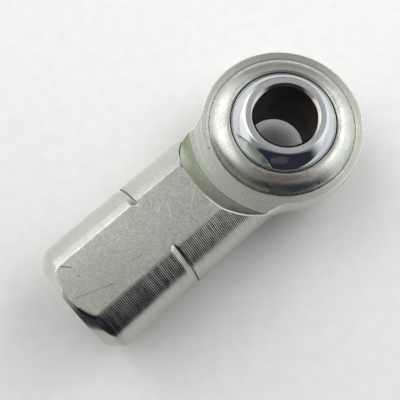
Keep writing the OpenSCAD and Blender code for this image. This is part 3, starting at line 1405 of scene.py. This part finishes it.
    def build(self, effects: Effects) -> None:
        """Turns, mills, faces, drills and taps the body, and rides it on its own body.

        Args:
            effects: The shared groups.
        """
        lip = self.lip_inner() + self.lip_width
        for region, finish in body_finishes(lip + self.collar_width, lip).items():
            self.finishes[region] = finish.material(effects)
        self.piece = Bench.turn("body_plated", self.blank_outline(), Spindle.SHANK, self.steps)
        for region in (Region.TURNED, Region.MILLED, Region.WORN):
            self.paint(self.piece, region)
        for side in (1.0, -1.0):
            Bench.slice_off(self.piece, Vector((0, 0, side * self.flat_z)), Vector((0, 0, side)))
        for face in self.piece.data.polygons:
            if level_at(face, self.flat_z, HAIR):
                face.material_index = self.slot(Region.MILLED)
        facing = Bench.turn("facing_tool", self.head_cut_outline(), Spindle.BORE, steps=320)
        drill = Bench.turn("drill", self.drill_outline(), Spindle.SHANK, steps=96)
        tap = Bench.coil("tap", self.tap_outline(), self.pitch, self.thread_turns, steps=48)
        for tool, region in ((facing, Region.FACED), (drill, Region.TAPPED), (tap, Region.TAPPED)):
            self.paint(tool, region)
            Bench.cut(self.piece, tool)
        self.merge_rim()
        self.clear_margin()
        self.break_edges()
        self.dress()
        Bench.smooth(self.piece)
        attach(self.piece, "body")
        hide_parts("body")


@dataclass(frozen=True)
class Patch:
    """A soft round patch of the room's light.

    Attributes:
        azimuth: Its direction, counter-clockwise from +X, in degrees.
        elevation: Its height above the horizon, in degrees.
        inner: Angle from its middle to where it starts to fade, in degrees.
        outer: Angle from its middle to where it has faded, in degrees.
        colour: Its colour and strength in one.
    """

    azimuth: float
    elevation: float
    inner: float
    outer: float
    colour: Colour


@dataclass(frozen=True)
class Lamp:
    """A soft panel that lights the floor.

    Attributes:
        azimuth: Its direction, counter-clockwise from +X, in degrees.
        elevation: Its height above the horizon, in degrees.
        power: Its power, in watts.
    """

    azimuth: float
    elevation: float
    power: float


@dataclass
class Studio:
    """Floor, soft light and the camera at the photograph's angle.

    Attributes:
        target: Point that the camera looks at.
        azimuth: Camera's direction from the target, counter-clockwise from +X, in degrees.
        elevation: Camera's height above the horizon, in degrees.
        roll: Camera's turn about its own axis, in degrees.
        distance: From the target to the camera.
        focal_px: Focal length in pixels of the photograph's frame.
        walls: Colour of the room where no patch lies.
        patches: Soft patches painted on the room, in order.
        lamps: The soft lamps.
        lamp_distance: From the target to each lamp.
        lamp_side: Side of each lamp's square panel.
        floor_side: Side of the square floor.
        floor_front: From the part's origin to the floor's edge on the camera's side, past the picture.
        paper: Darker and paler colour of the floor.
        paper_rough: Roughness of the floor.
        mottle: Size of the patches of those colours.
        mottle_band: Noise over which the one turns into the other.
        backdrop: Colour that the camera sees past the floor, and the metal too below the horizon.
        backdrop_fall: Elevations between which the metal starts to show it, in degrees.
    """

    target: Vector = field(default_factory=lambda: Vector((17.67, -0.03, 0.0)) * MM)
    azimuth: float = 44.43
    elevation: float = 74.71
    roll: float = 3.84
    distance: float = 95.28 * MM
    focal_px: float = 596.15
    walls: Colour = (0.31, 0.31, 0.31, 1.0)
    patches: tuple[Patch, ...] = (
        Patch(228.0, 50.0, 8.0, 30.0, (0.4, 0.41, 0.425, 1.0)),
        Patch(-70.0, 16.0, 19.0, 47.0, (1.38, 1.38, 1.35, 1.0)),
        Patch(156.0, 38.0, 8.0, 35.0, (2.3, 2.3, 2.3, 1.0)),
        Patch(-69.0, 45.0, 11.0, 43.0, (1.72, 1.72, 1.72, 1.0)),
        Patch(49.0, 78.0, 9.0, 32.0, (0.17, 0.15, 0.14, 1.0)),
        Patch(51.0, 0.0, 45.0, 61.0, (0.032, 0.032, 0.045, 1.0)),
        Patch(36.0, 9.0, 1.0, 9.0, (0.09, 0.082, 0.09, 1.0)),
        Patch(49.0, 13.0, 1.0, 13.0, (0.085, 0.078, 0.085, 1.0)),
        Patch(-39.0, 3.0, 14.0, 28.0, (1.15, 1.15, 1.15, 1.0)),
        Patch(151.0, 9.0, 13.0, 50.0, (1.2, 1.23, 1.26, 1.0)),
    )
    lamps: tuple[Lamp, ...] = (Lamp(180.0, 35.0, 0.18), Lamp(270.0, 35.0, 0.136))
    lamp_distance: float = 220.0 * MM
    lamp_side: float = 160.0 * MM
    floor_side: float = 1.2
    floor_front: float = 62.0 * MM
    paper: tuple[Colour, Colour] = ((0.785, 0.785, 0.775, 1.0), (0.815, 0.815, 0.805, 1.0))
    paper_rough: float = 0.7
    mottle: float = 2.5 * MM
    mottle_band: Point = (0.3, 0.7)
    backdrop: Colour = (0.82, 0.82, 0.81, 1.0)
    backdrop_fall: tuple[float, float] = (-26.0, -32.0)

    def camera(self) -> None:
        """Adds the camera and makes it the scene's own."""
        a, r = math.radians(self.azimuth), math.radians(self.roll)
        back = heading(self.azimuth, self.elevation)
        right = Vector((-math.sin(a), math.cos(a), 0.0))
        up = back.cross(right)
        turned_right = math.cos(r) * right + math.sin(r) * up
        turned_up = -math.sin(r) * right + math.cos(r) * up
        bpy.ops.object.camera_add(location=self.target + back * self.distance)
        camera = bpy.context.object
        camera.rotation_euler = Matrix((turned_right, turned_up, back)).transposed().to_euler()
        camera.data.sensor_width = SENSOR_WIDTH
        camera.data.lens = self.focal_px / PHOTO_SIDE * SENSOR_WIDTH
        camera.data.clip_start = MM
        bpy.context.scene.camera = camera

    def floor(self, height: float) -> None:
        """Adds the pale floor.

        Args:
            height: Where the part rests.
        """
        Bench.clear()
        turn = math.radians(self.azimuth + self.roll)
        back = self.floor_front - self.floor_side / 2
        place = (back * math.cos(turn), back * math.sin(turn), height)
        bpy.ops.mesh.primitive_plane_add(size=self.floor_side, location=place, rotation=(0.0, 0.0, turn))
        floor = bpy.context.object
        floor.name = "floor"
        material = bpy.data.materials.new("pale_floor")
        material.use_nodes = True
        shader = material.node_tree.nodes["Principled BSDF"]
        graph = Graph(material.node_tree)
        mottle = graph.noise(graph.node("TexCoord").outputs["Object"], 1.0 / self.mottle, detail=4.0)
        colour = graph.blend(graph.ramp(mottle, *self.mottle_band), *self.paper)
        material.node_tree.links.new(colour, shader.inputs["Base Color"])
        shader.inputs["Roughness"].default_value = self.paper_rough
        floor.data.materials.append(material)

    def light(self) -> None:
        """Paints the room: grey walls, soft bright and dark patches, and a pale backdrop past the floor."""
        world = bpy.data.worlds.new("room")
        bpy.context.scene.world = world
        world.use_nodes = True
        graph = Graph(world.node_tree)
        way = graph.node("TexCoord").outputs["Generated"]
        colour: Any = self.walls
        for patch in self.patches:
            near = graph.vector("DOT_PRODUCT", way, heading(patch.azimuth, patch.elevation))
            share = graph.ramp(near, math.cos(math.radians(patch.outer)), math.cos(math.radians(patch.inner)))
            colour = graph.blend(share, colour, patch.colour)
        rays = graph.node("LightPath").outputs
        fall = (math.sin(math.radians(angle)) for angle in self.backdrop_fall)
        below = graph.ramp(graph.node("SeparateXYZ", {0: way}).outputs["Z"], *fall)
        mirrored = graph.math("MAXIMUM", rays["Is Glossy Ray"], rays["Is Transmission Ray"])
        share = graph.math("MAXIMUM", rays["Is Camera Ray"], graph.math("MULTIPLY", mirrored, below))
        seen = graph.blend(share, colour, self.backdrop)
        world.node_tree.links.new(seen, world.node_tree.nodes["Background"].inputs["Color"])
        bpy.context.scene.view_settings.view_transform = "Standard"

    def lamp(self) -> None:
        """Adds the soft panels that light the floor and give the part its shadow."""
        for chosen in self.lamps:
            aim = heading(chosen.azimuth, chosen.elevation)
            bpy.ops.object.light_add(type="AREA", location=self.target + aim * self.lamp_distance)
            lamp = bpy.context.object
            lamp.rotation_euler = aim.to_track_quat("Z", "Y").to_euler()
            lamp.data.size = self.lamp_side
            lamp.data.energy = chosen.power
            lamp.visible_glossy = False


def main() -> None:
    """Builds the pieces and the studio in order."""
    logging.basicConfig(level=logging.INFO, format="%(name)s: %(message)s")
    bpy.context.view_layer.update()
    studio = Studio()
    studio.camera()
    effects = Effects()
    ball = Ball()
    ball.build(effects)
    body = Body()
    body.build(effects)
    for piece in (ball.piece, body.piece):
        log.info("%s: %d faces", piece.name, len(piece.data.polygons))
    studio.floor(-body.flat_z)
    studio.light()
    studio.lamp()


if __name__ == "__main__":
    main()
